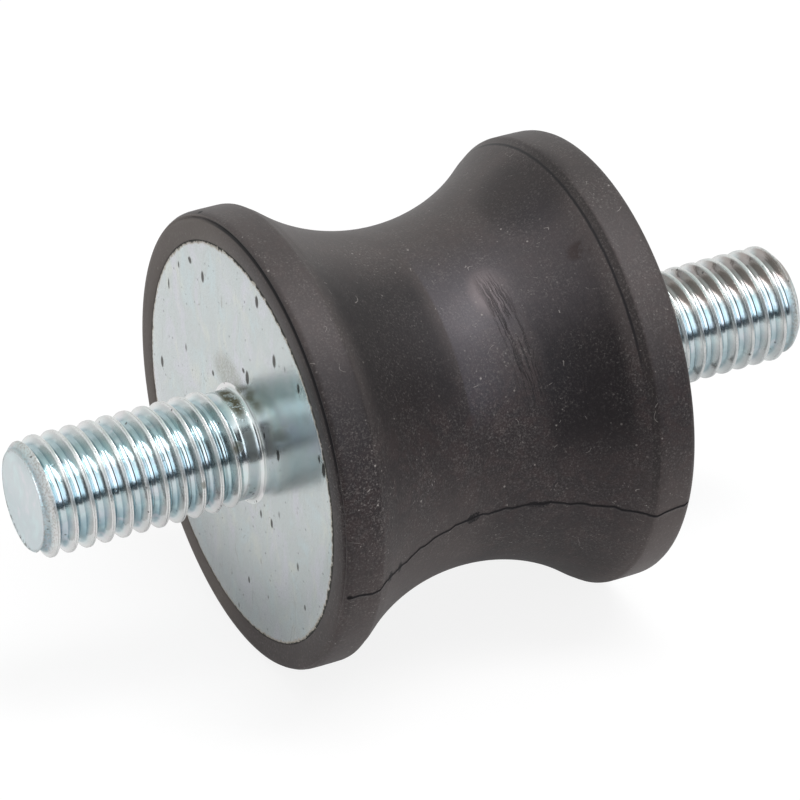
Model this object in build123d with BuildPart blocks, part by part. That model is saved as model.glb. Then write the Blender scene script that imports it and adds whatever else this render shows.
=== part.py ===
import os

from build123d import *

# Bobbin vibration mount. A waisted rubber body has a zinc plated steel plate moulded into each end, and a
# threaded stud stands out of each plate. Sizes are in millimetres. The axis of the mount lies along X, the
# middle of the body is at the origin, and the body lies on its two rims with +Z up.

# Rubber body
body_length = 25.0
rim_d = 30.2
waist_depth = 3.7

# Rim at each end: a flat lip round the plate, a fine groove left by the mould, a bevelled corner that stands a
# little behind the lip, a straight band, and a small step down to the waist
lip_inset = 0.5
lip_width = 1.3
groove_width = 0.25
groove_depth = 0.25
rim_setback = 0.1
rim_corner = 0.5
rim_width = 2.65
step_width = 0.5
step_height = 0.33

# Steel plates, flush with the end faces and as wide as the lip leaves room for
plate_thickness = 2.0

# Studs, M8 x 1.25: a flat head behind the plate, a collar in the plate's hole, a plain neck and the thread
stud_length = 15.0
thread_major_d = 7.8
neck_d = 7.2
neck_length = 2.2
collar_d = 8.0
head_d = 13.0
head_thickness = 1.8
end_chamfer = 0.6

half_length = body_length / 2
rim_r = rim_d / 2
waist_r = rim_r - waist_depth
lip_r = rim_r - lip_inset
plate_r = lip_r - lip_width
neck_r = neck_d / 2
collar_r = collar_d / 2
thread_r = thread_major_d / 2

# Half section of the front end: local x runs out of the end face along the stud, local y is the radius
front_section = Plane(origin=(-half_length, 0, 0), x_dir=(-1, 0, 0), z_dir=(0, 0, -1))

os.makedirs("parts", exist_ok=True)

# Front plate: a stamped disc with a hole for the stud's collar
with BuildPart() as front_plate:
    with BuildSketch(Plane.YZ.offset(-half_length)):
        Circle(plate_r)
        Circle(collar_r, mode=Mode.SUBTRACT)
    extrude(amount=plate_thickness)
front_plate.part.label = "front_plate"
export_step(front_plate.part, "parts/front_plate.step")

# Front stud, turned and rolled in one piece. Its collar runs out to the plate's face and tapers down to the
# neck, and the thread starts after a short run-out.
root_taper = collar_r - neck_r
run_out = thread_r - neck_r
head_start = -plate_thickness - head_thickness
with BuildPart() as front_stud:
    with BuildSketch(front_section):
        with BuildLine():
            Polyline(
                (head_start, 0),
                (head_start, head_d / 2),
                (-plate_thickness, head_d / 2),
                (-plate_thickness, collar_r),
                (0, collar_r),
                (root_taper, neck_r),
                (neck_length, neck_r),
                (neck_length + run_out, thread_r),
                (stud_length - end_chamfer, thread_r),
                (stud_length, thread_r - end_chamfer),
                (stud_length, 0),
                close=True,
            )
        make_face()
    revolve(axis=Axis.X)
front_stud.part.label = "front_stud"
export_step(front_stud.part, "parts/front_stud.step")

# Rear plate and stud, the same pieces turned to the other end
with BuildPart() as rear_plate:
    mirror(front_plate.part, about=Plane.YZ)
rear_plate.part.label = "rear_plate"
export_step(rear_plate.part, "parts/rear_plate.step")

with BuildPart() as rear_stud:
    mirror(front_stud.part, about=Plane.YZ)
rear_stud.part.label = "rear_stud"
export_step(rear_stud.part, "parts/rear_stud.step")

# Rubber body: two moulded rims joined by a waist of one arc, shaped round the plates and the studs' heads
groove_r = lip_r + groove_width / 2
groove_edge_r = lip_r + groove_width
band_end_x = -half_length + rim_width
with BuildPart() as rubber_body:
    with BuildSketch(Plane.XY):
        with BuildLine():
            front_rim = Polyline(
                (-half_length, 0),
                (-half_length, lip_r),
                (-half_length + groove_depth, groove_r),
                (-half_length + rim_setback, groove_edge_r),
                (-half_length + rim_corner, rim_r),
                (band_end_x, rim_r),
                (band_end_x + step_width, rim_r - step_height),
            )
            rear_rim = mirror(front_rim, about=Plane.YZ)
            ThreePointArc(front_rim @ 1, (0, waist_r), rear_rim @ 1)
            Line(front_rim @ 0, rear_rim @ 0)
        make_face()
    revolve(axis=Axis.X)
    for insert in (front_plate, front_stud, rear_plate, rear_stud):
        add(insert.part, mode=Mode.SUBTRACT)
rubber_body.part.label = "rubber_body"
export_step(rubber_body.part, "parts/rubber_body.step")
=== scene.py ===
"""Dresses the bobbin vibration mount.

It has a moulded rubber body, a zinc plated plate in each end, and M8 studs with rolled threads.
"""

import math

import bmesh
import bpy
from mathutils import Matrix, Vector


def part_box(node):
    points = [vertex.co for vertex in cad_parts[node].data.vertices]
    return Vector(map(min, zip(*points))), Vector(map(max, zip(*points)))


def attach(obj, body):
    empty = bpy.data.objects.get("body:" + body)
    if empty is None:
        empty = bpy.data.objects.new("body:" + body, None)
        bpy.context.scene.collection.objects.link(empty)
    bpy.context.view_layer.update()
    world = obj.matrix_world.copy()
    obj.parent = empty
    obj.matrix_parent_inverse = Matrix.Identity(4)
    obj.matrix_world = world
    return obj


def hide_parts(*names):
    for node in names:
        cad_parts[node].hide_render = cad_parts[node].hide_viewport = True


bl_info = {
    "name": "Bobbin Vibration Mount",
    "version": (1, 0, 0),
    "blender": (4, 5, 0),
    "location": "View3D > Sidebar > Mount",
    "description": "Waisted rubber mount with zinc plated plates and threaded studs",
    "category": "Mesh",
}

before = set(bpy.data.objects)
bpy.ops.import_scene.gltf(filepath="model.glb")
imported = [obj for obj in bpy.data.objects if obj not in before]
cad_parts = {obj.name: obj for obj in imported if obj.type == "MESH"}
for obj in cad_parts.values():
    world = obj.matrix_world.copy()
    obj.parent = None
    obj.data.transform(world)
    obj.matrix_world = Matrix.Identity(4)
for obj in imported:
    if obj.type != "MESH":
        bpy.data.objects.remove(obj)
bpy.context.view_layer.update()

MM = 0.001

# Corners and sizes of the CAD solids, in metres
BODY_LOW, BODY_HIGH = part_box("rubber_body")
PLATE_LOW, PLATE_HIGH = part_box("front_plate")
STUD_LOW, STUD_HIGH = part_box("front_stud")
FACE = BODY_HIGH.x
RIM_RADIUS = BODY_HIGH.z
PLATE_RADIUS = PLATE_HIGH.z
PLATE_THICKNESS = PLATE_HIGH.x - PLATE_LOW.x
STUD_LENGTH = PLATE_LOW.x - STUD_LOW.x
HEAD_RADIUS = STUD_HIGH.z
HEAD_THICKNESS = STUD_HIGH.x - PLATE_HIGH.x

# The same in millimetres, for the materials
FACE_MM = FACE / MM
PLATE_RADIUS_MM = PLATE_RADIUS / MM
STUD_LENGTH_MM = STUD_LENGTH / MM


def size(name, description, default):
    """A length that the sidebar shows in the scene's units."""
    return bpy.props.FloatProperty(
        name=name, description=description, default=default, unit="LENGTH", precision=5
    )


def number(name, description, default):
    """A plain number without limits."""
    return bpy.props.FloatProperty(name=name, description=description, default=default)


def portion(name, description, default):
    """A number from 0 to 1."""
    return bpy.props.FloatProperty(name=name, description=description, default=default, min=0.0, max=1.0)


def whole(name, description, default, low):
    """A whole number with a lower limit."""
    return bpy.props.IntProperty(name=name, description=description, default=default, min=low)


def tint(name, description, default):
    """A colour with values from 0 to 1."""
    return bpy.props.FloatVectorProperty(
        name=name, description=description, default=default, subtype="COLOR", size=3, min=0.0, max=1.0
    )


def turn(name, description, degrees):
    """An angle that the sidebar shows in degrees."""
    return bpy.props.FloatProperty(
        name=name, description=description, default=math.radians(degrees), unit="ROTATION", subtype="ANGLE"
    )


class RubberSettings(bpy.types.PropertyGroup):
    waist_radius: size("Waist radius", "Radius at the middle of the waist", 11.4 * MM)
    lip_radius: size("Lip radius", "Outer radius of the flat lip round each plate", 14.6 * MM)
    groove_width: size("Groove width", "Width of the fine groove between lip and rim", 0.25 * MM)
    groove_depth: size("Groove depth", "Depth of the groove under the end face", 0.25 * MM)
    rim_corner: size("Rim corner", "Length of the rounded corner of the rim", 0.5 * MM)
    rim_width: size("Rim width", "Length of the rim from the end face to its step", 2.65 * MM)
    step_width: size("Step width", "Length of the step between rim and waist", 0.5 * MM)
    step_height: size("Step height", "Height of the step between rim and waist", 0.33 * MM)
    parting_angle: turn("Parting line", "Place of the mould's parting line, from the top towards -Y", 103.5)
    parting_depth: size("Parting depth", "Depth of the parting line's crease", 0.06 * MM)
    colour: tint("Rubber", "Colour of the clean rubber", (0.012, 0.0075, 0.0072))
    dust: tint("Dust", "Colour of the dust on the rubber", (0.42, 0.39, 0.37))
    segments: whole("Segments", "Columns round the body", 256, 48)
    waist_rings: whole("Waist rings", "Rings of faces along the waist", 44, 12)


class PlateSettings(bpy.types.PropertyGroup):
    hole_radius: size("Hole radius", "Radius of the hole for the stud's collar", 4.0 * MM)
    edge_round: size("Edge round", "Radius of the plate's outer edge", 0.12 * MM)
    colour: tint("Zinc", "Colour of the bright zinc plating", (0.59, 0.635, 0.635))
    segments: whole("Segments", "Columns round the plate", 192, 48)


class StudSettings(bpy.types.PropertyGroup):
    pitch: size("Pitch", "Distance from crest to crest", 1.25 * MM)
    crest_radius: size("Crest radius", "Radius at the thread's crests", 3.89 * MM)
    root_radius: size("Root radius", "Radius at the thread's roots", 3.25 * MM)
    neck_radius: size("Neck radius", "Radius of the plain neck", 3.6 * MM)
    neck_length: size("Neck length", "Length of the plain neck out of the plate", 1.0 * MM)
    runout: size("Run-out", "Length over which the thread fades into the neck", 0.75 * MM)
    collar_radius: size("Collar radius", "Radius of the collar in the plate's hole", 4.0 * MM)
    flare_radius: size("Flare radius", "Radius to which the neck flares out at the plate", 3.78 * MM)
    flare_length: size("Flare length", "Length of the neck's flare", 0.36 * MM)
    end_chamfer: size("End chamfer", "Length of the chamfer at the free end", 0.6 * MM)
    front_phase: portion("Front phase", "Place of the front thread's crests at the top, in pitches", 0.333)
    rear_phase: portion("Rear phase", "Place of the rear thread's crests at the top, in pitches", 0.587)
    colour: tint("Zinc", "Colour of the stud's bright zinc plating", (0.72, 0.77, 0.78))
    steps: whole("Steps", "Steps in each turn of the thread", 96, 24)


class StageSettings(bpy.types.PropertyGroup):
    lens: number("Lens", "Focal length of the camera", 196.28)
    azimuth: turn("Azimuth", "Camera's direction round the mount", -27.61)
    elevation: turn("Elevation", "Camera's height above the horizon", 30.75)
    camera_place: bpy.props.FloatVectorProperty(
        name="Camera",
        description="Place of the camera",
        default=(-0.1136, -0.21544, 0.14465),
        subtype="XYZ",
        unit="LENGTH",
        size=3,
    )
    floor_size: size("Floor size", "Width of the square floor", 4.0)
    key_power: number("Key light", "Power of the softbox", 1.45)
    world_light: number("World light", "Strength of the surroundings", 0.62)


def fresh_start():
    """Goes back to object mode with nothing selected."""
    if bpy.context.mode != "OBJECT":
        bpy.ops.object.mode_set(mode="OBJECT")
    bpy.ops.object.select_all(action="DESELECT")


def name_piece(name):
    """Names the active object and its mesh."""
    piece = bpy.context.object
    piece.name = name
    piece.data.name = name
    return piece


def select_where(piece, kind, test):
    """In edit mode, selects only the vertices, edges or faces for which test is true."""
    bpy.ops.mesh.select_all(action="DESELECT")
    mesh = bmesh.from_edit_mesh(piece.data)
    for element in getattr(mesh, kind):
        if test(element):
            element.select_set(True)
    mesh.select_flush_mode()
    bmesh.update_edit_mesh(piece.data)


def start_ring(name, x, radius, segments, roll=0.0):
    """Adds a circle round the X axis as a new piece and leaves it selected in edit mode."""
    fresh_start()
    facing = Matrix.Rotation(roll, 3, "X") @ Matrix.Rotation(math.pi / 2, 3, "Y")
    bpy.ops.mesh.primitive_circle_add(
        vertices=segments, radius=radius, fill_type="NOTHING", location=(x, 0, 0), rotation=facing.to_euler()
    )
    piece = name_piece(name)
    bpy.ops.object.transform_apply(location=True, rotation=True, scale=True)
    bpy.ops.object.mode_set(mode="EDIT")
    bpy.ops.mesh.select_mode(type="EDGE")
    bpy.ops.mesh.select_all(action="SELECT")
    return piece


def extrude_rings(x, radius, points):
    """Extrudes the selected ring, which is at x with that radius, through each (x, radius) in turn."""
    for next_x, next_radius in points:
        bpy.ops.mesh.extrude_edges_move(TRANSFORM_OT_translate={"value": (next_x - x, 0, 0)})
        grow = next_radius / radius
        bpy.ops.transform.resize(value=(1, grow, grow), center_override=(next_x, 0, 0))
        x, radius = next_x, next_radius


def close_piece(piece, smooth_degrees):
    """Merges doubles, turns the faces outwards, and shades the piece smooth apart from its sharp edges."""
    bpy.ops.mesh.select_all(action="SELECT")
    bpy.ops.mesh.remove_doubles(threshold=1e-6)
    bpy.ops.mesh.normals_make_consistent(inside=False)
    bpy.ops.object.mode_set(mode="OBJECT")
    bpy.ops.object.shade_smooth_by_angle(angle=math.radians(smooth_degrees))


def finish_piece(piece, node, material):
    """Gives a piece its material, attaches it to the root body, and hides the CAD node that it stands for."""
    piece.data.materials.clear()
    piece.data.materials.append(material)
    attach(piece, "root")
    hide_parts(node)


class Wire:
    """A value in a node sheet. Arithmetic on it adds Math nodes."""

    def __init__(self, sheet, socket):
        self.sheet = sheet
        self.socket = socket

    def math(self, operation, first, second=0.0):
        return self.sheet.add("ShaderNodeMath", {"operation": operation}, {0: first, 1: second})

    def __add__(self, other):
        return self.math("ADD", self, other)

    def __radd__(self, other):
        return self.math("ADD", other, self)

    def __sub__(self, other):
        return self.math("SUBTRACT", self, other)

    def __rsub__(self, other):
        return self.math("SUBTRACT", other, self)

    def __mul__(self, other):
        return self.math("MULTIPLY", self, other)

    def __rmul__(self, other):
        return self.math("MULTIPLY", other, self)

    def __truediv__(self, other):
        return self.math("DIVIDE", self, other)

    def __pow__(self, other):
        return self.math("POWER", self, other)

    def __abs__(self):
        return self.math("ABSOLUTE", self)


class Sheet:
    """The node sheet of one material or of the world."""

    def __init__(self, owner):
        owner.use_nodes = True
        self.tree = owner.node_tree
        self.tree.nodes.clear()

    def add(self, kind, settings=None, inputs=None, output=0):
        """Adds a node: its settings first, then the values or links of its sockets."""
        node = self.tree.nodes.new(kind)
        for key, value in (settings or {}).items():
            if key == "stops":
                self.set_stops(node.color_ramp, value)
            else:
                setattr(node, key, value)
        for key, value in (inputs or {}).items():
            if isinstance(value, Wire):
                self.tree.links.new(value.socket, node.inputs[key])
            else:
                node.inputs[key].default_value = value
        return Wire(self, node.outputs[output]) if node.outputs else node

    def set_stops(self, ramp, stops):
        """Sets a ramp's stops, given as (place, colour)."""
        while len(ramp.elements) < len(stops):
            ramp.elements.new(0.5)
        for element, (place, colour) in zip(ramp.elements, stops):
            element.position = place
            element.color = (*colour, 1.0)

    def mix(self, share, first, second):
        """Mixes two colours."""
        return self.add("ShaderNodeMix", {"data_type": "RGBA"}, {0: share, 6: first, 7: second}, 2)

    def layers(self, colour, tints):
        """Lays tints over a colour in turn, each given as (share, tint)."""
        for share, tone in tints:
            colour = self.mix(share, colour, rgba(tone))
        return colour

    def step(self, value, low, high, at_low=0.0, at_high=1.0):
        """A smooth step from at_low to at_high as the value goes from low to high."""
        return self.add(
            "ShaderNodeMapRange",
            {"interpolation_type": "SMOOTHSTEP", "clamp": True},
            {0: value, 1: low, 2: high, 3: at_low, 4: at_high},
        )

    def band(self, value, low, high, soft):
        """One between low and high, fading to zero over soft on each side."""
        return self.step(value, low - soft, low + soft) * self.step(value, high - soft, high + soft, 1.0, 0.0)

    def stretch(self, place, x, y, z):
        """Multiplies a place by three scales."""
        return self.add("ShaderNodeVectorMath", {"operation": "MULTIPLY"}, {0: place, 1: (x, y, z)})

    def noise(self, place, scale, detail, rough, twist=0.0):
        """Soft noise from 0 to 1."""
        return self.add(
            "ShaderNodeTexNoise",
            {"noise_dimensions": "3D"},
            {"Vector": place, "Scale": scale, "Detail": detail, "Roughness": rough, "Distortion": twist},
        )

    def specks(self, place, scale, share, reach):
        """Round specks: only some cells have one, and each has its own size."""
        settings = {"voronoi_dimensions": "3D", "feature": "F1"}
        cells = {"Vector": place, "Scale": scale}
        distance = self.add("ShaderNodeTexVoronoi", settings, cells, "Distance")
        pick = self.add("ShaderNodeTexVoronoi", settings, cells, "Color")
        red = self.add("ShaderNodeSeparateColor", None, {0: pick}, 0)
        green = self.add("ShaderNodeSeparateColor", None, {0: pick}, 1)
        chosen = self.step(red, 1.0 - share, 1.0 - share + 0.001)
        radius = reach * (0.35 + 0.65 * green)
        return chosen * self.step(distance / radius, 0.6, 1.0, 1.0, 0.0)

    def fibres(self, place, scale, share, width):
        """Short curled fibres: thin lines of a soft noise, kept only in scattered spots."""
        line = self.noise(place, scale, 1.0, 0.4)
        keep = self.noise(self.stretch(place, -1.0, 1.0, 1.0), scale * 1.3, 2.0, 0.6)
        drawn = self.step(abs(line - 0.5), 0.4 * width, width, 1.0, 0.0)
        return drawn * self.step(keep, 1.0 - share, 1.02 - share)

    def spot(self, first, at_first, reach_first, second, at_second, reach_second):
        """A soft oval spot: one in its middle, zero beyond its reach."""
        across = (first - at_first) / reach_first
        up = (second - at_second) / reach_second
        return self.step(across * across + up * up, 0.15, 1.0, 1.0, 0.0)

    def around(self, value, at, reach):
        """A soft stripe: one where the value is near that place, zero beyond its reach."""
        return self.spot(value, at, reach, value, at, reach)

    def join(self, x, y, z):
        """A place from three values."""
        return self.add("ShaderNodeCombineXYZ", None, {0: x, 1: y, 2: z})

    def place_mm(self):
        """The place on the piece in millimetres, from its object coordinates."""
        place = self.add("ShaderNodeTexCoord", None, None, "Object")
        return self.stretch(place, 1 / MM, 1 / MM, 1 / MM)

    def parts_of(self, place):
        """X, Y and Z of a place."""
        return [self.add("ShaderNodeSeparateXYZ", None, {0: place}, part) for part in ("X", "Y", "Z")]

    def turn_of(self, y, z):
        """Angle round the X axis in degrees, from the top towards -Y."""
        return z.math("ARCTAN2", 0.0 - y, z) * math.degrees(1)

    def radius_of(self, y, z):
        """Distance from the X axis."""
        return (y * y + z * z) ** 0.5

    def bump(self, height, distance, strength):
        """Surface relief: height from 0 to 1 over that distance in metres."""
        return self.add(
            "ShaderNodeBump", None, {"Height": height, "Distance": distance, "Strength": strength}
        )

    def surface(self, **sockets):
        """The shader itself, linked to the output. Names of sockets have underscores for spaces."""
        inputs = {key.replace("_", " "): value for key, value in sockets.items()}
        shader = self.add("ShaderNodeBsdfPrincipled", None, inputs)
        self.add("ShaderNodeOutputMaterial", None, {"Surface": shader})


def rgba(colour, times=1.0):
    """A colour with full cover, made lighter or darker."""
    return tuple(part * times for part in colour) + (1.0,)


def rubber_material(settings):
    """Black moulded rubber: satin and dusty, with turning marks, a rubbed patch and scratches, and painted
    shade, sheen and a highlight.

    Places are in millimetres: along is the distance from the front face. The angle is in degrees, from
    the top towards -Y.
    """
    material = bpy.data.materials.new("moulded_rubber")
    sheet = Sheet(material)
    place = sheet.place_mm()
    x, y, z = sheet.parts_of(place)
    angle = sheet.turn_of(y, z)
    along = x + FACE_MM
    radius = sheet.radius_of(y, z)
    lip_edge = settings.lip_radius / MM
    rear_step = FACE_MM * 2 - (settings.rim_width + settings.step_width) / MM

    broad = sheet.noise(place, 0.25, 3.0, 0.55)
    grain = sheet.noise(place, 8.0, 3.0, 0.6)
    mottle = sheet.noise(place, 1.1, 5.0, 0.7, 0.5)
    turning = sheet.noise(sheet.stretch(place, 6.0, 0.15, 0.15), 1.0, 3.0, 0.65)
    warm = sheet.noise(place, 0.9, 2.0, 0.5, 0.8)

    # Rubbed patch on the waist, smoother than the rest, whose pale tint is partly painted sheen; with a
    # painted highlight and the slanted scratches across it
    fade = along + 0.07 * angle + 1.2 * mottle
    patch = sheet.band(angle + 8.0 * mottle, 22.0, 72.0, 8.0) * sheet.step(along + 0.1 * grain, 11.05, 11.2)
    patch = patch * sheet.step(fade, 16.2, 20.2, 1.0, 0.0)
    slant = along - 0.012 * angle + 0.35 * mottle
    lines = sheet.noise(sheet.join(slant * 3.6, angle * 0.03, 0.0), 1.0, 3.0, 0.6, 0.2)
    scratched = sheet.band(slant, 14.2, 15.6, 0.3) * sheet.band(angle, 26.0, 68.0, 7.0)
    scratches = sheet.step(abs(lines - 0.5), 0.045, 0.015) * scratched
    # Painted highlight in the middle of the patch
    painted_patch_highlight = sheet.spot(along, 15.0, 1.7, angle, 30.0, 11.0)

    # Dust: fine and coarse grains, curled fibres, and a haze that gathers in patches and on the front rim
    fine_dust = sheet.specks(place, 3.4, 0.8, 0.3)
    coarse_dust = sheet.specks(place, 1.5, 0.3, 0.15)
    fibres = sheet.fibres(place, 0.75, 0.36, 0.006)
    gather = sheet.step(sheet.noise(place, 0.35, 3.0, 0.6), 0.36, 0.62, 0.35, 1.0)
    gather = gather + 0.5 * sheet.spot(along, 1.2, 3.2, angle, 78.0, 34.0)
    haze = sheet.step(mottle * 0.6 + grain * 0.4, 0.5, 0.66) * gather
    powder = sheet.step(sheet.noise(place, 6.5, 3.0, 0.8), 0.49, 0.66) * gather
    dust = fine_dust * 0.16 * gather + coarse_dust * 0.55 * gather + haze * 0.04 + powder * 0.13

    # Painted shade and painted sheen on the body, its lip, and a smear
    # Painted shade on the waist's flanks and on the rims, where they reflect the dark room in front
    flank = sheet.band(angle, 28.0, 84.0, 9.0)
    dark = flank * sheet.step(along + 1.5 * mottle, 16.2, 17.8) * sheet.step(along, 20.7, 21.6, 1.0, 0.0)
    dark = dark * sheet.step(angle + 12.0 * mottle, 34.0, 66.0, 0.2, 1.0) * (0.65 + mottle)
    painted_front_shade = sheet.band(angle, 14.0, 64.0, 13.0) * sheet.step(along, 2.2, 4.2)
    painted_front_shade = painted_front_shade * sheet.step(along, 11.5, 9.9)
    dark = dark + painted_front_shade * (0.7 + 0.6 * mottle)
    dark = dark + sheet.spot(along, 20.0, 3.4, angle, 2.0, 20.0) * 0.7
    dark = dark + sheet.step(along, 2.9, 2.5) * sheet.band(angle + 6.0 * mottle, 44.0, 71.0, 9.0) * 0.7
    dark = dark + sheet.step(along, 22.2, 22.5) * sheet.step(angle, 36.0, 12.0) * 0.25
    # Painted sheen: the body paler on top and underneath
    top = sheet.step(z, 4.0, 11.0)
    under = sheet.step(z, 3.5, -6.5) * (1.0 - 0.95 * sheet.band(along, 12.0, 21.5, 2.0))
    under = under * sheet.step(along, 0.3, 3.5, 0.6, 1.0) * sheet.step(along, 21.5, 22.3, 1.0, 1.6)
    lip = sheet.step(radius, PLATE_RADIUS_MM - 0.1, PLATE_RADIUS_MM + 0.1)
    lip = lip * sheet.step(abs(x), FACE_MM - 0.2, FACE_MM - 0.08)
    lip = lip * sheet.step(y, -3.0, 4.0, 0.05, 0.8)
    # Painted shade in the front groove, on the side where it stays open
    groove = sheet.band(radius, lip_edge - 0.03, lip_edge + 0.28, 0.05)
    groove = groove * sheet.step(abs(x), FACE_MM - 0.5, FACE_MM - 0.4)
    painted_groove_shade = groove * sheet.band(angle + 10.0 * mottle, -10.0, 74.0, 8.0)
    # Painted shade in the crease at the foot of the rear step
    painted_step_foot_shade = sheet.band(along + 0.08 * mottle, rear_step - 0.06, rear_step + 0.09, 0.05)
    painted_step_foot_shade = painted_step_foot_shade * sheet.band(angle, -40.0, 66.0, 14.0)
    # Painted shade on the rear step's riser
    painted_riser_shade = sheet.band(along, rear_step + 0.05, rear_step + 0.45, 0.05)
    painted_riser_shade = painted_riser_shade * sheet.step(angle, -40.0, 10.0) * sheet.step(angle, 130.0, 80.0)
    smear = sheet.spot(along, 20.7, 0.9, angle, 29.5, 3.2) * sheet.step(mottle, 0.44, 0.56)
    # Painted sheen: a cool tint over the upper waist and the patch
    painted_cool_sheen = sheet.step(along, 11.0, 11.25) * sheet.step(along, 22.2, 19.8) * sheet.band(angle, 8.0, 46.0, 10.0)

    # Painted shade along the parting line's crease, with its blotches, each given as (place along, reach,
    # strength)
    near = sheet.add("ShaderNodeAttribute", {"attribute_name": "parting"}, None, "Fac")
    blotch = 0.0
    for at, reach, strength in ((11.0, 0.75, 1.0), (15.6, 1.2, 0.5), (3.5, 0.35, 1.0), (4.6, 0.3, 1.0)):
        blotch = blotch + sheet.around(along, at, reach) * strength
    width = 0.92 - 0.2 * mottle - 0.5 * blotch * sheet.step(grain, 0.36, 0.5) * sheet.step(y, 1.0, -1.0)
    crease = sheet.step(near - width, -0.05, 0.06)
    start_dot = sheet.spot(along, 0.4, 0.22, angle, 102.9, 0.85)
    nick = sheet.spot(along, 0.35, 0.2, angle, -22.5, 1.1)
    parting_shade_and_nicks = crease + start_dot + nick

    colour = sheet.mix(broad, rgba(settings.colour, 0.7), rgba(settings.colour, 1.2))
    dust = dust * (1.0 - 0.5 * sheet.step(dark, 0.0, 1.0)) + fibres * 0.45
    colour = sheet.layers(colour, (
        (sheet.step(grain, 0.42, 0.62) * 0.3, (0.05, 0.045, 0.047)),
        (sheet.step(warm, 0.42, 0.66) * 0.35, (0.042, 0.024, 0.022)),
        (turning * 0.25, (0.045, 0.038, 0.037)),
        # Painted sheen on top and underneath
        (top * 0.46, (0.085, 0.072, 0.068)),
        (under * 0.52, (0.088, 0.071, 0.066)),
        # Painted shade on the flanks and rims, and on the rear step's riser
        (dark * 0.85, (0.004, 0.002, 0.002)),
        (painted_riser_shade * 0.7, (0.012, 0.009, 0.008)),
        # Painted cool sheen
        (painted_cool_sheen * 0.2, (0.03, 0.03, 0.044)),
        # The rubbed patch, painted paler as sheen, and its painted highlight
        (patch * 0.17, (0.09, 0.085, 0.11)),
        (painted_patch_highlight * patch * 0.5, (0.2, 0.16, 0.16)),
        (scratches * 0.75, (0.004, 0.003, 0.003)),
        (lip, (0.12, 0.1, 0.086)),
        (dust, settings.dust),
        (smear * 0.7, (0.02, 0.01, 0.008)),
        # Painted shade in the front groove and in the crease at the rear step's foot
        (painted_groove_shade + painted_step_foot_shade, (0.003, 0.002, 0.002)),
        # Painted shade of the parting line, with its dark start dot and a dark nick
        (parting_shade_and_nicks, (0.003, 0.002, 0.002)),
    ))

    rough = 0.46 + 0.1 * mottle - 0.13 * patch + 0.3 * dust + 0.06 * grain + 0.2 * parting_shade_and_nicks
    relief = grain * 0.3 + turning * 0.45 + mottle * 0.5 + fine_dust * 0.4 - scratches * 1.4
    normal = sheet.bump(relief, 0.035 * MM, 0.6)
    sheet.surface(
        Base_Color=colour,
        Roughness=rough,
        Normal=normal,
        Specular_IOR_Level=0.31,
        Specular_Tint=(1.0, 0.94, 1.0, 1.0),
        Sheen_Weight=0.05,
        Sheen_Roughness=0.5,
    )
    return material


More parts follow.
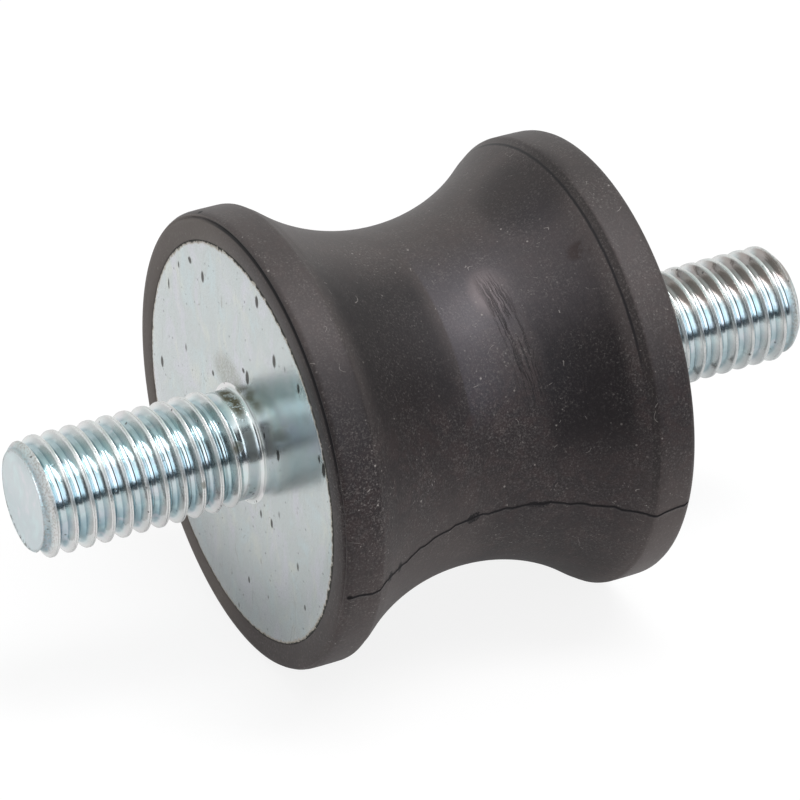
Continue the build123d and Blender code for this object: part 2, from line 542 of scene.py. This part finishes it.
def plate_material(settings):
    """Bright zinc plate: a dulled mirror with faint tints, grain, streaks, specks, a dirty edge and painted
    shade towards the bottom.

    Places are in millimetres.
    """
    material = bpy.data.materials.new("zinc_plate")
    sheet = Sheet(material)
    place = sheet.place_mm()
    x, y, z = sheet.parts_of(place)
    radius = sheet.radius_of(y, z)

    streak = sheet.noise(sheet.stretch(place, 1.0, 3.0, 0.4), 1.6, 5.0, 0.75, 0.2)
    cloud = sheet.noise(place, 0.3, 3.0, 0.6)
    grain = sheet.noise(place, 6.0, 4.0, 0.8)
    lilac = sheet.noise(sheet.stretch(place, 1.0, 1.0, 0.7), 0.4, 3.0, 0.6, 0.6)
    green = sheet.noise(sheet.stretch(place, -1.0, 1.0, 0.7), 0.5, 3.0, 0.6, 0.6)
    line = sheet.noise(sheet.stretch(place, 1.0, 1.1, 0.25), 0.5, 2.0, 0.4, 0.3)
    scratch = sheet.step(abs(line - 0.47), 0.0, 0.006, 1.0, 0.0) * sheet.step(cloud, 0.5, 0.62)
    long_speck = sheet.specks(sheet.stretch(place, 1.0, 1.0, 0.5), 0.75, 0.4, 0.24)
    pinprick = sheet.specks(place, 1.7, 0.3, 0.2)

    # Marks of the front plate alone, each given as (y, reach, z, reach)
    marks = 0.0
    spots = ((6.8, 0.3, 10.0, 0.3), (10.2, 0.14, 6.6, 0.5), (-0.85, 0.24, 5.8, 0.22), (3.7, 0.2, 3.25, 0.25))
    for at_y, reach_y, at_z, reach_z in spots:
        marks = marks + sheet.spot(y, at_y, reach_y, z, at_z, reach_z)
    marks = marks * sheet.step(x, 1.0, -1.0)

    # Stain by the stud, and flash and dirt along the edge
    stain = sheet.spot(y, 1.4, 2.6, z, 4.3, 1.7) * sheet.step(grain + 0.3 * streak, 0.4, 0.75)
    edge = radius + 0.7 * sheet.noise(place, 2.6, 4.0, 0.75)
    fringe = sheet.step(edge, PLATE_RADIUS_MM + 0.05, PLATE_RADIUS_MM + 0.2)
    flash = sheet.step(edge, PLATE_RADIUS_MM + 0.22, PLATE_RADIUS_MM + 0.26)

    colour = sheet.mix(cloud, rgba(settings.colour, 0.94), rgba(settings.colour, 1.08))
    colour = sheet.layers(colour, (
        (sheet.step(lilac, 0.48, 0.68) * 0.45, (0.7, 0.68, 0.78)),
        (sheet.step(lilac, 0.5, 0.3) * 0.4, (0.6, 0.74, 0.78)),
        (sheet.step(green, 0.52, 0.7) * 0.4, (0.73, 0.75, 0.66)),
        (sheet.step(streak, 0.45, 0.75) * 0.3, (0.5, 0.53, 0.53)),
        (sheet.step(grain, 0.48, 0.68) * 0.45, (0.42, 0.44, 0.43)),
        # Painted shade: darker towards the bottom, where the plate reflects the shadow on the floor
        (sheet.step(z, -4.0, -14.5) * 0.5, (0.13, 0.15, 0.17)),
        (stain * 0.4, (0.3, 0.28, 0.2)),
        (scratch * 0.5, (0.25, 0.24, 0.2)),
        (fringe * 0.6, (0.42, 0.34, 0.25)),
        (long_speck + marks + pinprick * 0.45 + flash, (0.05, 0.05, 0.045)),
    ))

    rough = 0.12 + 0.07 * cloud + 0.1 * streak + 0.3 * fringe + 0.2 * stain + 0.3 * flash
    relief = streak * 0.7 + grain * 0.35 + cloud * 0.8 - long_speck - marks - 0.5 * scratch
    normal = sheet.bump(relief, 0.012 * MM, 0.5)
    metallic = sheet.step(flash, 0.0, 1.0, 0.96, 0.1)
    sheet.surface(Base_Color=colour, Metallic=metallic, Roughness=rough, Normal=normal)
    return material


def stud_material(settings, side):
    """Bright zinc stud: glossy blue-white, with pits, worn crests, a pitted end and a stained neck, and
    painted shade on the thread, the neck and the end face.

    Side is -1 for the front stud and 1 for the rear one. Places are in millimetres: out is the distance
    from the plate, and tip the distance from the free end.
    """
    material = bpy.data.materials.new("zinc_stud_front" if side < 0 else "zinc_stud_rear")
    sheet = Sheet(material)
    place = sheet.place_mm()
    x, y, z = sheet.parts_of(place)
    angle = sheet.turn_of(y, z)
    radius = sheet.radius_of(y, z)
    out = x * side - FACE_MM
    tip = STUD_LENGTH_MM - out
    crest_at = settings.crest_radius / MM
    root_at = settings.root_radius / MM

    cloud = sheet.noise(place, 0.5, 3.0, 0.6)
    grain = sheet.noise(place, 7.0, 4.0, 0.75)
    tone = sheet.noise(place, 0.8, 2.0, 0.5, 0.6)
    ringing = sheet.noise(sheet.stretch(place, 7.0, 0.35, 0.35), 1.0, 3.0, 0.65)
    dents = sheet.noise(place, 1.6, 2.0, 0.5)
    pits = sheet.specks(place, 1.7, 0.35, 0.2)
    crest = sheet.step(radius, crest_at - 0.19, crest_at - 0.05) * sheet.step(out, 1.6, 2.0)
    worn = crest * sheet.step(grain, 0.52, 0.64)
    end = sheet.step(tip, 0.8, 0.5) * sheet.step(radius, 3.05, 3.3)
    burr = sheet.step(0.39 * y - 0.92 * z, 2.3, 2.7) * sheet.step(radius, 2.9, 3.15)
    burr = burr * sheet.step(tip, 0.6, 0.2) * sheet.step(sheet.noise(place, 3.2, 3.0, 0.7), 0.5, 0.58)
    # Painted shade: a dark band across the neck, on the side that faces the front
    painted_neck_shade = sheet.band(out, 0.25, 1.0, 0.25) * sheet.around(angle, 62.0, 30.0)
    # Roots of the thread and the neck, for a teal tint that is partly plating colour and partly painted shade
    root = sheet.step(radius, root_at + 0.3, root_at + 0.08) + 0.5 * sheet.band(out, 0.42, 0.95, 0.1)
    # Roots on the upper side, where painted shade darkens them
    upper = sheet.step(radius, crest_at - 0.04, crest_at - 0.17) * sheet.step(z, 2.2, 3.1)
    upper = upper * sheet.step(angle, -34.0, -14.0)
    # The end face, painted a little darker as shade
    face = sheet.step(tip, 0.1, 0.03)

    # Only the front stud's neck is stained. Each stud has its own painted shade on the thread: darker upper
    # roots, and on the rear stud a darker lower side.
    if side < 0:
        blotchy = sheet.step(grain * 0.7 + dents * 0.5, 0.5, 0.62)
        stain = sheet.spot(out, 0.66, 0.62, angle, 4.0, 36.0) * blotchy
        stain = stain + sheet.spot(out, 1.6, 0.55, angle, 60.0, 9.0) * sheet.step(dents, 0.3, 0.5, 0.4, 0.85)
        stain = stain + sheet.spot(out, 4.3, 0.2, angle, 87.0, 5.0) * 0.5
        shading = ((upper * 0.35, (0.4, 0.47, 0.48)),)
    else:
        stain = 0.0
        shading = (
            (upper * 0.8, (0.34, 0.28, 0.26)),
            (sheet.step(z, 0.4, -0.6) * 0.4, (0.4, 0.45, 0.46)),
        )

    colour = sheet.mix(cloud, rgba(settings.colour, 0.92), rgba(settings.colour, 1.06))
    colour = sheet.layers(colour, (
        # Teal roots, partly plating colour and partly painted shade, weaker in a band at mid height; painted
        # shade on the roots underneath and on the end face
        (root * sheet.step(abs(z - 1.2), 0.8, 1.8, 0.35, 0.8), (0.33, 0.47, 0.53)),
        (root * sheet.step(z, 0.0, -1.5) * 0.5, (0.2, 0.34, 0.4)),
        (face * 0.8, (0.6, 0.66, 0.68)),
        (sheet.step(tone, 0.5, 0.7) * 0.35, (0.64, 0.82, 0.82)),
        (sheet.step(tone, 0.47, 0.3) * 0.35, (0.8, 0.74, 0.8)),
        (sheet.step(radius, 3.5, 3.75) * 0.4, (0.86, 0.8, 0.77)),
        *shading,
        (worn * 0.35, (0.4, 0.36, 0.34)),
        (end * sheet.step(grain, 0.45, 0.62) * 0.6, (0.36, 0.31, 0.27)),
        (pits * 0.8, (0.08, 0.08, 0.08)),
        (burr * 0.8, (0.14, 0.14, 0.13)),
        # Painted shade across the neck
        (painted_neck_shade * 0.7, (0.2, 0.185, 0.155)),
        (stain * 0.9, (0.12, 0.1, 0.045)),
    ))

    rough = 0.1 + 0.05 * cloud + 0.06 * ringing + 0.12 * crest + 0.3 * end + 0.45 * stain + 0.2 * painted_neck_shade
    relief = ringing * 0.3 + grain * 0.14 + dents * 0.7 + end * grain * 1.6
    relief = relief + burr * 2.0 - pits * 0.6 + stain * grain
    normal = sheet.bump(relief, 0.03 * MM, 0.5)
    sheet.surface(Base_Color=colour, Metallic=1.0, Roughness=rough, Normal=normal)
    return material


def rim_points(settings):
    """Half section of a rim, from the plate's edge to the waist, as (depth from the face, radius)."""
    lip = settings.lip_radius
    groove = settings.groove_width
    depth = settings.groove_depth
    corner = settings.rim_corner
    band_end = settings.rim_width
    bottom = lip + groove / 2
    shoulder = lip + groove
    return [
        (0.04 * MM, PLATE_RADIUS),
        (0.0, PLATE_RADIUS + 0.08 * MM),
        (0.0, lip - 0.5 * MM),
        (0.02 * MM, lip - 0.12 * MM),
        (0.3 * depth, lip + 0.01 * MM),
        (0.9 * depth, bottom - 0.02 * MM),
        (0.92 * depth, bottom + 0.03 * MM),
        (0.5 * depth, shoulder - 0.02 * MM),
        (0.12 * MM, shoulder + 0.04 * MM),
        (0.2 * MM, RIM_RADIUS - 0.12 * MM),
        (0.36 * MM, RIM_RADIUS - 0.045 * MM),
        (corner + 0.05 * MM, RIM_RADIUS - 0.015 * MM),
        (0.4 * band_end, RIM_RADIUS - 0.002 * MM),
        (0.75 * band_end, RIM_RADIUS),
        (band_end - 0.15 * MM, RIM_RADIUS - 0.005 * MM),
        (band_end - 0.02 * MM, RIM_RADIUS - 0.03 * MM),
        (band_end + 0.1 * MM, RIM_RADIUS - 0.1 * MM),
        (band_end + 0.7 * settings.step_width, RIM_RADIUS - 0.85 * settings.step_height),
        (band_end + settings.step_width, RIM_RADIUS - settings.step_height - 0.02 * MM),
    ]


def waist_points(settings):
    """The waist's arc between the two steps, without its ends, as (x, radius)."""
    count = settings.waist_rings
    start = FACE - settings.rim_width - settings.step_width
    rise = RIM_RADIUS - settings.step_height - settings.waist_radius
    arc = (start * start + rise * rise) / (2 * rise)
    points = []
    for index in range(1, count):
        x = -start + 2 * start * index / count
        points.append((x, settings.waist_radius + arc - math.sqrt(arc * arc - x * x)))
    return points


# How the parting line wanders: (distance from the front face in millimetres, degrees)
PARTING_WANDER = (
    (0.0, -0.6), (2.0, 0.1), (3.3, -1.5), (5.0, 0.2), (8.0, 0.0), (11.0, -0.5), (13.0, 0.0),
    (16.0, 0.2), (18.5, 1.0), (20.7, 1.3), (22.3, 1.6), (24.2, 0.4), (25.0, 0.0),
)


def wander_at(along):
    """How far the parting line has wandered, in degrees, at a distance from the front face in millimetres."""
    ripple = 0.3 * math.sin(3.7 * along) + 0.18 * math.sin(8.3 * along + 1.0)
    for (start, first), (end, last) in zip(PARTING_WANDER, PARTING_WANDER[1:]):
        if along <= end:
            share = (along - start) / (end - start)
            return ripple + first + (last - first) * share * share * (3 - 2 * share)
    return PARTING_WANDER[-1][1]


class MountRubberBody(bpy.types.Operator):
    """Models the moulded rubber body with its lips, grooves, rims, steps, waist and parting line"""

    bl_idname = "mount.rubber_body"
    bl_label = "Rubber body"

    def execute(self, context):
        settings = context.scene.mount_rubber
        inner = FACE - PLATE_THICKNESS
        head_back = inner - HEAD_THICKNESS
        hidden = [(-inner, HEAD_RADIUS), (-inner, PLATE_RADIUS)]
        front = [(-FACE + depth, radius) for depth, radius in rim_points(settings)]
        rear = [(FACE - depth, radius) for depth, radius in reversed(rim_points(settings))]
        rear_hidden = [(inner, PLATE_RADIUS), (inner, HEAD_RADIUS), (head_back, HEAD_RADIUS)]
        roll = settings.parting_angle - math.pi / 2
        piece = start_ring("rubber_bobbin", -head_back, HEAD_RADIUS, settings.segments, roll)
        bpy.ops.mesh.edge_face_add()
        bpy.ops.mesh.select_all(action="SELECT")
        profile = hidden + front + waist_points(settings) + rear + rear_hidden
        extrude_rings(-head_back, HEAD_RADIUS, profile)
        bpy.ops.mesh.edge_face_add()
        self.crease_parting_line(piece, settings)
        close_piece(piece, smooth_degrees=35)
        self.fade_groove(piece, settings)
        self.mark_parting_line(piece, settings)
        finish_piece(piece, "rubber_body", rubber_material(settings))
        return {"FINISHED"}

    def crease_parting_line(self, piece, settings):
        """Splits the columns of edges at the parting line, and presses their middle in as a crease."""
        across = Vector((0, math.cos(settings.parting_angle), math.sin(settings.parting_angle)))
        inside = settings.waist_radius - 0.1 * MM
        last_x = FACE - 0.3 * MM
        tolerance = 0.001 * MM

        def on_parting_line(vertex):
            flat = math.hypot(vertex.co.y, vertex.co.z)
            return flat > inside and abs(vertex.co.dot(across)) < tolerance and abs(vertex.co.x) < last_x

        bpy.ops.mesh.select_mode(type="EDGE")
        select_where(piece, "edges", lambda edge: all(on_parting_line(vertex) for vertex in edge.verts))
        bpy.ops.mesh.bevel(offset=0.1 * MM, segments=2, profile=0.5, affect="EDGES")
        bpy.ops.mesh.select_mode(type="VERT")
        select_where(piece, "verts", on_parting_line)
        bpy.ops.transform.shrink_fatten(value=-settings.parting_depth)

    def fade_groove(self, piece, settings):
        """Fills the front groove on the side where the mould left none."""
        # Angles in degrees: the middle of the open groove, how far it stays open, and how far it then fades
        middle = 35.0
        open_reach = 50.0
        fade_reach = 30.0
        inside = settings.lip_radius - 0.2 * MM
        outside = RIM_RADIUS - 0.15 * MM
        corner_drop = 0.06 * MM
        for vertex in piece.data.vertices:
            flat = math.hypot(vertex.co.y, vertex.co.z)
            depth = FACE + vertex.co.x
            if flat < inside or flat > outside or depth > settings.groove_depth:
                continue
            angle = math.degrees(math.atan2(-vertex.co.y, vertex.co.z))
            away = abs(math.remainder(angle - middle, 360.0))
            share = min(1.0, max(0.0, (away - open_reach) / fade_reach))
            slope = corner_drop * max(0.0, flat - settings.lip_radius) / settings.groove_width
            vertex.co.x += (slope - depth) * share

    def mark_parting_line(self, piece, settings):
        """Bends the crease to and fro, and marks for the material how near it is."""
        bend_reach = 2.2 * MM
        mark_reach = 0.6 * MM
        inside = settings.waist_radius - 0.2 * MM
        last_x = FACE - 0.25 * MM
        mark = piece.data.attributes.new("parting", "FLOAT", "POINT")
        for index, vertex in enumerate(piece.data.vertices):
            flat = math.hypot(vertex.co.y, vertex.co.z)
            if flat < inside or abs(vertex.co.x) > last_x:
                continue
            angle = math.atan2(-vertex.co.y, vertex.co.z)
            near = math.remainder(angle - settings.parting_angle, math.pi)
            reach = 1.0 - abs(near) * flat / bend_reach
            if reach <= 0:
                continue
            shift = math.radians(wander_at((vertex.co.x + FACE) / MM)) * min(1.0, 1.3 * reach)
            vertex.co.yz = (-math.sin(angle + shift) * flat, math.cos(angle + shift) * flat)
            mark.data[index].value = max(0.0, 1.0 - abs(near) * flat / mark_reach)


class MountPlates(bpy.types.Operator):
    """Models the steel plate in each end, with softly rounded edges"""

    bl_idname = "mount.plates"
    bl_label = "Plates"

    def execute(self, context):
        settings = context.scene.mount_plate
        material = plate_material(settings)
        for name, side in (("front_disc", -1), ("rear_disc", 1)):
            self.model(name, side, settings, material)
        return {"FINISHED"}

    def model(self, name, side, settings, material):
        """Turns the plate's closed section round the axis."""
        edge = settings.edge_round
        back = side * (FACE - PLATE_THICKNESS)
        face = side * FACE
        hole = settings.hole_radius
        points = [(face, hole)]
        for radius in (6.0, 8.0, 10.0, 12.0):
            points.append((face, radius * MM))
        for share in (0.0, 0.35, 0.7, 1.0):
            lean = share * math.pi / 2
            radius = PLATE_RADIUS - edge * (1 - math.sin(lean))
            points.append((face - side * edge * (1 - math.cos(lean)), radius))
        points.append((back, PLATE_RADIUS))
        points.append((back, hole))
        piece = start_ring(name, back, hole, settings.segments)
        extrude_rings(back, hole, points)
        close_piece(piece, smooth_degrees=40)
        node = "front_plate" if side < 0 else "rear_plate"
        finish_piece(piece, node, material)


class MountStuds(bpy.types.Operator):
    """Models the stud of each end, with its collar, neck, right-hand thread and chamfered end"""

    bl_idname = "mount.studs"
    bl_label = "Studs"

    def execute(self, context):
        settings = context.scene.mount_stud
        self.model("front_threaded_stud", -1, settings.front_phase, settings)
        self.model("rear_threaded_stud", 1, settings.rear_phase, settings)
        return {"FINISHED"}

    def model(self, name, side, phase, settings):
        """Sweeps one pitch of the thread into a helix, trims it, and extrudes the stud's root."""
        piece = self.sweep_thread(name, side, phase, settings)
        self.shape_ends(piece, side, settings)
        neck_at = side * (FACE + settings.neck_length)
        end_at = side * (FACE + STUD_LENGTH)
        self.trim(end_at, side, outward=True)
        bpy.ops.mesh.edge_face_add()
        bpy.ops.mesh.inset(thickness=0.12 * MM, depth=0.0)
        self.trim(neck_at, side, outward=False)
        self.extrude_root(side, settings)
        close_piece(piece, smooth_degrees=40)
        node = "front_stud" if side < 0 else "rear_stud"
        finish_piece(piece, node, stud_material(settings, side))

    def thread_section(self, settings):
        """One pitch of a rolled thread from root to root, as (place along the axis, radius)."""
        crest = settings.crest_radius
        root = settings.root_radius

        # From the root to the middle of the crest, the place in millimetres
        half = [
            (0.0, root), (0.1, root + 0.005 * MM), (0.19, root + 0.035 * MM), (0.25, root + 0.1 * MM),
            (0.36, root + 0.3 * MM), (0.48, crest - 0.11 * MM), (0.515, crest - 0.03 * MM), (0.55, crest),
            (0.585, crest - 0.002 * MM), (0.61, crest - 0.02 * MM), (0.625, crest - 0.035 * MM),
        ]
        left = [(place * MM, radius) for place, radius in half]
        right = [(settings.pitch - place, radius) for place, radius in reversed(left[:-1])]
        return left + right

    def sweep_thread(self, name, side, phase, settings):
        """Draws the section point by point from one vertex, and screws it round the axis."""
        pitch = settings.pitch
        turns = math.ceil(STUD_LENGTH / pitch) + 3
        inner = FACE + settings.neck_length - 2 * pitch
        low = inner if side > 0 else -FACE - STUD_LENGTH - 2 * pitch
        crest_step = math.floor((low + FACE) / pitch) + phase
        start = -FACE + (crest_step - 0.5) * pitch
        section = self.thread_section(settings)
        fresh_start()
        bpy.ops.mesh.primitive_plane_add(size=0.1 * MM, location=(0, 0, 0))
        piece = name_piece(name)
        bpy.ops.object.mode_set(mode="EDIT")
        bpy.ops.mesh.select_mode(type="VERT")
        bpy.ops.mesh.select_all(action="SELECT")
        bpy.ops.mesh.merge(type="CENTER")
        bpy.ops.transform.translate(value=(start, 0, section[0][1]))
        for (place, radius), (next_place, next_radius) in zip(section, section[1:]):
            step = (next_place - place, 0, next_radius - radius)
            bpy.ops.mesh.extrude_vertices_move(TRANSFORM_OT_translate={"value": step})
        bpy.ops.object.mode_set(mode="OBJECT")
        bpy.ops.object.modifier_add(type="SCREW")
        screw = piece.modifiers[-1]
        screw.axis = "X"
        screw.angle = 2 * math.pi
        screw.screw_offset = pitch
        screw.iterations = turns
        screw.steps = settings.steps
        screw.render_steps = settings.steps
        bpy.ops.object.modifier_apply(modifier=screw.name)
        bpy.ops.object.mode_set(mode="EDIT")
        bpy.ops.mesh.select_all(action="SELECT")
        bpy.ops.mesh.remove_doubles(threshold=2e-6)
        return piece

    def shape_ends(self, piece, side, settings):
        """Presses the thread down to the chamfer at its free end, and fades it into the neck."""
        mesh = bmesh.from_edit_mesh(piece.data)
        neck = settings.neck_radius
        fade_from = settings.neck_length + 0.05 * MM
        for vertex in mesh.verts:
            out = vertex.co.x * side - FACE
            radius = math.hypot(vertex.co.y, vertex.co.z)
            share = (out - fade_from) / settings.runout
            share = min(1.0, max(0.0, share))
            share = share * share * (3 - 2 * share)
            wanted = neck + (radius - neck) * share
            tip = STUD_LENGTH - out
            if tip < settings.end_chamfer:
                wanted = min(wanted, settings.crest_radius - settings.end_chamfer + max(tip, 0.0))
            vertex.co.y *= wanted / radius
            vertex.co.z *= wanted / radius
        bmesh.update_edit_mesh(piece.data)

    def trim(self, x, side, outward):
        """Cuts the swept thread at x and drops what lies beyond it."""
        bpy.ops.mesh.select_all(action="SELECT")
        drop_high = (side > 0) == outward
        bpy.ops.mesh.bisect(
            plane_co=(x, 0, 0),
            plane_no=(1, 0, 0),
            clear_inner=not drop_high,
            clear_outer=drop_high,
            threshold=1e-7,
        )

    def extrude_root(self, side, settings):
        """Extrudes the cut edge through neck, flare, collar and head, and closes it."""
        neck = settings.neck_radius
        collar = settings.collar_radius
        rise = settings.flare_radius - neck
        length = settings.flare_length
        outs = [(0.7 * MM, neck), (length + 0.1 * MM, neck), (length, neck + 0.004 * MM)]
        for share in (0.25, 0.5, 0.75, 1.0):
            lean = share * math.pi / 2
            outs.append((length * (1 - math.sin(lean)), settings.flare_radius - rise * math.cos(lean)))
        outs.append((0.0, collar))
        outs.append((-PLATE_THICKNESS, collar))
        outs.append((-PLATE_THICKNESS, HEAD_RADIUS))
        outs.append((-PLATE_THICKNESS - HEAD_THICKNESS, HEAD_RADIUS))
        points = [(side * (FACE + out), radius) for out, radius in outs]
        extrude_rings(side * (FACE + settings.neck_length), neck, points)
        bpy.ops.mesh.edge_face_add()


def floor_material():
    """White floor that keeps the mount's soft shadow. Reflections see it dark beyond a table's edge."""
    material = bpy.data.materials.new("studio_floor")
    sheet = Sheet(material)
    place = sheet.place_mm()
    x, y = sheet.parts_of(place)[:2]
    reach = sheet.radius_of(x, y)
    camera_ray = sheet.add("ShaderNodeLightPath", None, None, "Is Camera Ray")
    glossy_ray = sheet.add("ShaderNodeLightPath", None, None, "Is Glossy Ray")

    # The table's edge: from here on reflections see a dark floor in front of the mount
    far = sheet.step(reach, 85.0, 150.0) * sheet.step(y, 10.0, -30.0)
    pale = rgba((0.8, 0.8, 0.8))
    table = sheet.mix(far, pale, rgba((0.05, 0.06, 0.07)))
    tone = sheet.mix(glossy_ray, pale, table)
    matte = sheet.add("ShaderNodeBsdfDiffuse", None, {"Color": tone})
    white = sheet.add("ShaderNodeEmission", None, {"Color": tone, "Strength": 1.34})
    share = camera_ray * 0.8 + glossy_ray * 0.3
    seen = sheet.add("ShaderNodeMixShader", None, {0: share, 1: matte, 2: white})
    sheet.add("ShaderNodeOutputMaterial", None, {"Surface": seen})
    return material


def light_world(settings):
    """White surroundings for the camera, and a plain room for the light that falls on the mount.

    Its shiny surfaces show a pale wall behind, a grey-green ceiling, a bright window in front and a dark
    horizon.
    """
    world = bpy.data.worlds.new("studio_world")
    bpy.context.scene.world = world
    sheet = Sheet(world)
    facing = sheet.add("ShaderNodeTexCoord", None, None, "Generated")
    x, y, z = sheet.parts_of(facing)
    lean = sheet.turn_of(y, z)
    camera_ray = sheet.add("ShaderNodeLightPath", None, None, "Is Camera Ray")
    glossy_ray = sheet.add("ShaderNodeLightPath", None, None, "Is Glossy Ray")

    # The room from the horizon behind (0), over the ceiling (0.5), to the horizon in front (1)
    arch_stops = (
        (0.0, (0.9, 0.92, 0.91)), (0.2, (0.9, 0.92, 0.91)), (0.26, (0.6, 0.66, 0.64)),
        (0.4, (0.76, 0.88, 0.86)), (0.5, (1.0, 1.08, 1.06)), (0.57, (1.3, 1.35, 1.35)),
        (0.62, (1.9, 1.95, 1.95)), (0.72, (1.6, 1.75, 1.8)), (0.84, (1.9, 2.15, 2.35)),
        (0.925, (1.6, 1.85, 2.1)), (0.955, (0.06, 0.08, 0.1)), (1.0, (0.05, 0.065, 0.08)),
    )
    arch_place = sheet.add("ShaderNodeMapRange", None, {0: lean, 1: -90.0, 2: 90.0})
    arch = sheet.add("ShaderNodeValToRGB", {"stops": arch_stops}, {0: arch_place})

    # Window in front, a dark wall beside it, and a pale wall where the front stud points
    window = sheet.band(x, -0.22, 0.6, 0.05)
    front = sheet.step(lean, 14.0, 34.0)
    wall = sheet.mix(front * (1.0 - window), arch, rgba((0.05, 0.055, 0.06)))
    side = sheet.band(x, -0.62, -0.3, 0.07) * sheet.step(lean, -30.0, 0.0)
    wall = sheet.mix(side * 0.1, wall, rgba((0.12, 0.13, 0.14)))
    wall = sheet.mix(sheet.step(x, -0.6, -0.8), wall, rgba((0.85, 0.88, 0.9)))
    white = (1.0, 1.0, 1.0)
    room = sheet.mix(glossy_ray, rgba(white, settings.world_light), wall)
    shown = sheet.mix(camera_ray, room, rgba(white))
    glow = sheet.add("ShaderNodeBackground", None, {"Color": shown, "Strength": 1.0})
    sheet.add("ShaderNodeOutputWorld", None, {"Surface": glow})


def add_softbox(name, place, lean, heading, width, height, power):
    """Adds an area light that leans from the zenith by that angle in degrees, on that heading from -Y."""
    fresh_start()
    facing = (math.radians(lean), 0, math.radians(heading))
    bpy.ops.object.light_add(type="AREA", location=place, rotation=facing)
    lamp = bpy.context.object
    lamp.name = name
    lamp.data.shape = "RECTANGLE"
    lamp.data.size = width
    lamp.data.size_y = height
    lamp.data.energy = power


class MountStage(bpy.types.Operator):
    """Lays the white floor, lights it softly, and sets the camera"""

    bl_idname = "mount.stage"
    bl_label = "Stage"

    def execute(self, context):
        settings = context.scene.mount_stage
        fresh_start()
        bpy.ops.mesh.primitive_plane_add(size=settings.floor_size, location=(0, 0, 0))
        floor = name_piece("studio_floor")
        bpy.ops.object.mode_set(mode="EDIT")
        bpy.ops.mesh.select_all(action="SELECT")
        bpy.ops.transform.translate(value=(0, 0, BODY_LOW.z))
        bpy.ops.object.mode_set(mode="OBJECT")
        floor.data.materials.append(floor_material())
        light_world(settings)
        add_softbox(
            "key_softbox",
            place=(0.115, -0.095, 0.47),
            lean=17.5,
            heading=49.0,
            width=0.15,
            height=0.34,
            power=settings.key_power,
        )
        bpy.ops.object.camera_add(
            location=settings.camera_place,
            rotation=(math.pi / 2 - settings.elevation, 0, settings.azimuth),
        )
        camera = context.object
        camera.name = "photo_camera"
        camera.data.lens = settings.lens
        camera.data.sensor_width = 36.0
        camera.data.clip_start = 0.01
        camera.data.clip_end = 20.0
        context.scene.camera = camera
        context.scene.view_settings.view_transform = "Standard"
        return {"FINISHED"}


class VIEW3D_PT_mount(bpy.types.Panel):
    """Lists the pieces of the mount"""

    bl_label = "Bobbin mount"
    bl_space_type = "VIEW_3D"
    bl_region_type = "UI"
    bl_category = "Mount"

    def draw(self, context):
        for group_name, tool in zip(SETTINGS, TOOLS):
            box = self.layout.box()
            group = getattr(context.scene, group_name)
            for key in group.__annotations__:
                box.prop(group, key)
            box.operator(tool.bl_idname)


# Groups of settings, in the order of their operators
SETTINGS = {
    "mount_rubber": RubberSettings,
    "mount_plate": PlateSettings,
    "mount_stud": StudSettings,
    "mount_stage": StageSettings,
}
TOOLS = (MountRubberBody, MountPlates, MountStuds, MountStage, VIEW3D_PT_mount)


def register():
    """Adds the settings, the operators and the panel."""
    for name, group in SETTINGS.items():
        bpy.utils.register_class(group)
        setattr(bpy.types.Scene, name, bpy.props.PointerProperty(type=group))
    for tool in TOOLS:
        bpy.utils.register_class(tool)


def unregister():
    """Takes them all away again."""
    for tool in reversed(TOOLS):
        bpy.utils.unregister_class(tool)
    for name, group in SETTINGS.items():
        delattr(bpy.types.Scene, name)
        bpy.utils.unregister_class(group)


def main():
    """Models every piece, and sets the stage."""
    register()
    bpy.ops.mount.rubber_body()
    bpy.ops.mount.plates()
    bpy.ops.mount.studs()
    bpy.ops.mount.stage()
    fresh_start()


if __name__ == "__main__":
    main()
